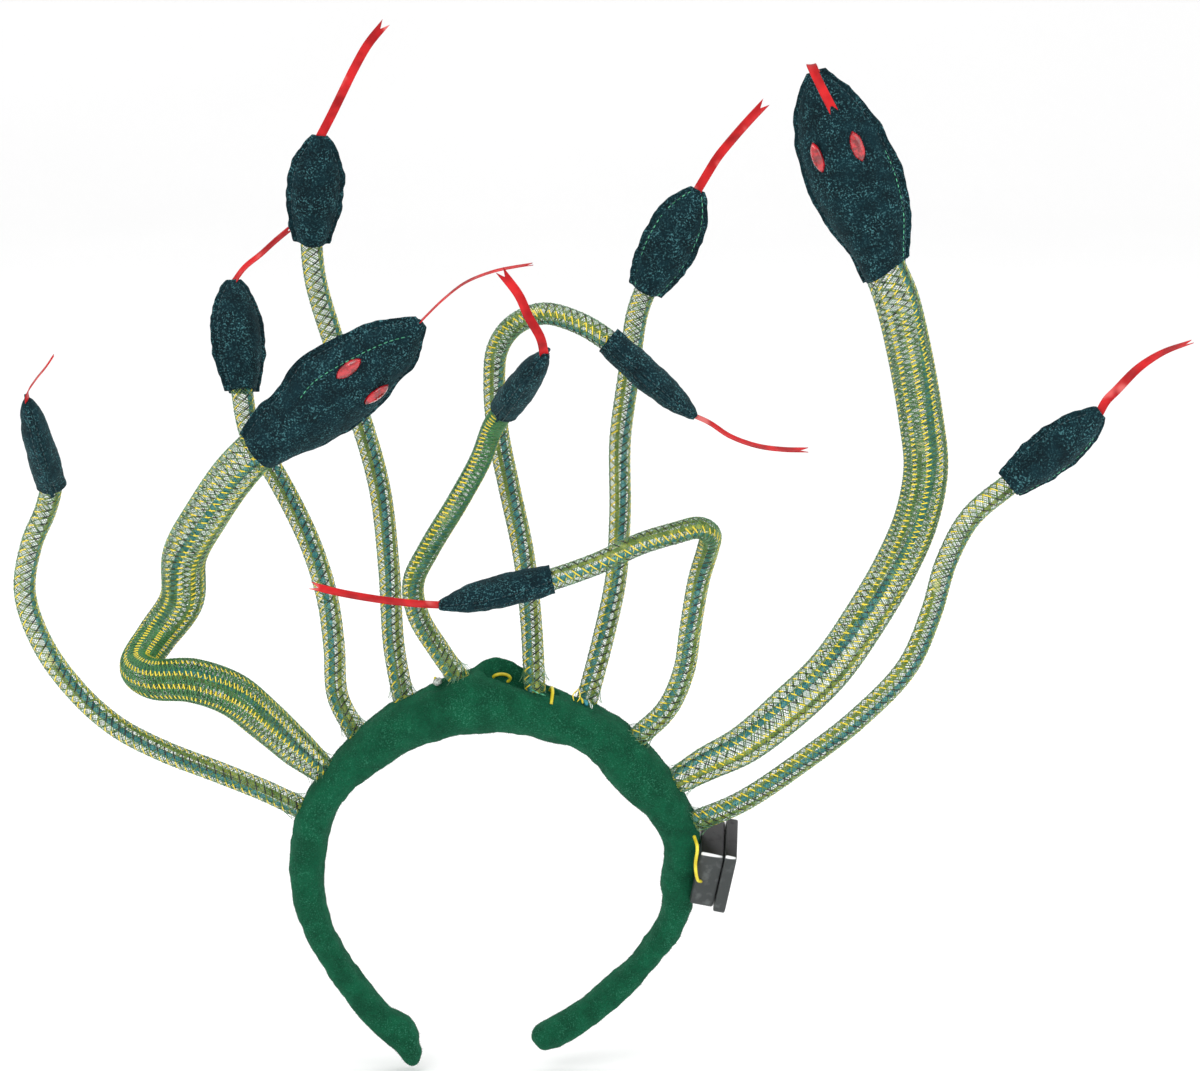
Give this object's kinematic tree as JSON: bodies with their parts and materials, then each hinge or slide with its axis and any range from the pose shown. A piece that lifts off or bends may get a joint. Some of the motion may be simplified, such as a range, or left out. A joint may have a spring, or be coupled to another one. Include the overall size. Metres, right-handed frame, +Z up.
{
  "type": "light-up medusa headpiece",
  "caption": "Padded felt headband carrying bendable see-through net snakes with lamps inside, padded velvet heads, ribbon tongues and a small battery box.",
  "frame": {"origin": "The inner face of the headband at the crown, where it sits on top of the head.", "axes": "+X to the wearer's left, along the headpiece's widest extent; +Y to the back of the head, its shallowest extent; +Z up."},
  "size_m": [0.4168, 0.0933, 0.3828],
  "materials": {
    "felt": "thick green wool-like felt with short loose fibres",
    "net": "see-through braided net tube in green with black, yellow and teal strands",
    "velvet": "dark teal crushed velvet with light specks",
    "ribbon": "narrow red satin ribbon",
    "eye": "glossy red moulded dome with fine ridges",
    "wire": "thin yellow insulated wire",
    "box": "black moulded plastic with a soft shine"
  },
  "bodies": {
    "root": {"headband": "felt", "snake_1_tube": "net", "snake_1_light": "wire", "snake_1_head": "velvet", "snake_1_tongue": "ribbon", "snake_2_tube": "net", "snake_2_light": "wire", "snake_2_head": "velvet", "snake_2_tongue": "ribbon", "snake_2_eye_left": "eye", "snake_2_eye_right": "eye", "snake_3_tube": "net", "snake_3_light": "wire", "snake_3_head": "velvet", "snake_3_tongue": "ribbon", "snake_4_tube": "net", "snake_4_light": "wire", "snake_4_head": "velvet", "snake_4_tongue": "ribbon", "snake_5_tube": "net", "snake_5_light": "wire", "snake_5_head": "velvet", "snake_5_tongue": "ribbon", "snake_6_tube": "net", "snake_6_light": "wire", "snake_6_head": "velvet", "snake_6_tongue": "ribbon", "snake_7_tube": "net", "snake_7_light": "wire", "snake_7_head": "velvet", "snake_7_tongue": "ribbon", "snake_8_tube": "net", "snake_8_light": "wire", "snake_8_head": "velvet", "snake_8_tongue": "ribbon", "snake_9_tube": "net", "snake_9_light": "wire", "snake_9_head": "velvet", "snake_9_tongue": "ribbon", "snake_9_eye_left": "eye", "snake_9_eye_right": "eye", "snake_10_tube": "net", "snake_10_light": "wire", "snake_10_head": "velvet", "snake_10_tongue": "ribbon", "battery_box_body": "box", "battery_box_lid": "box", "wire_loop": "wire", "slit_wire": "wire", "battery_wire": "wire"}
  },
  "joints": []
}
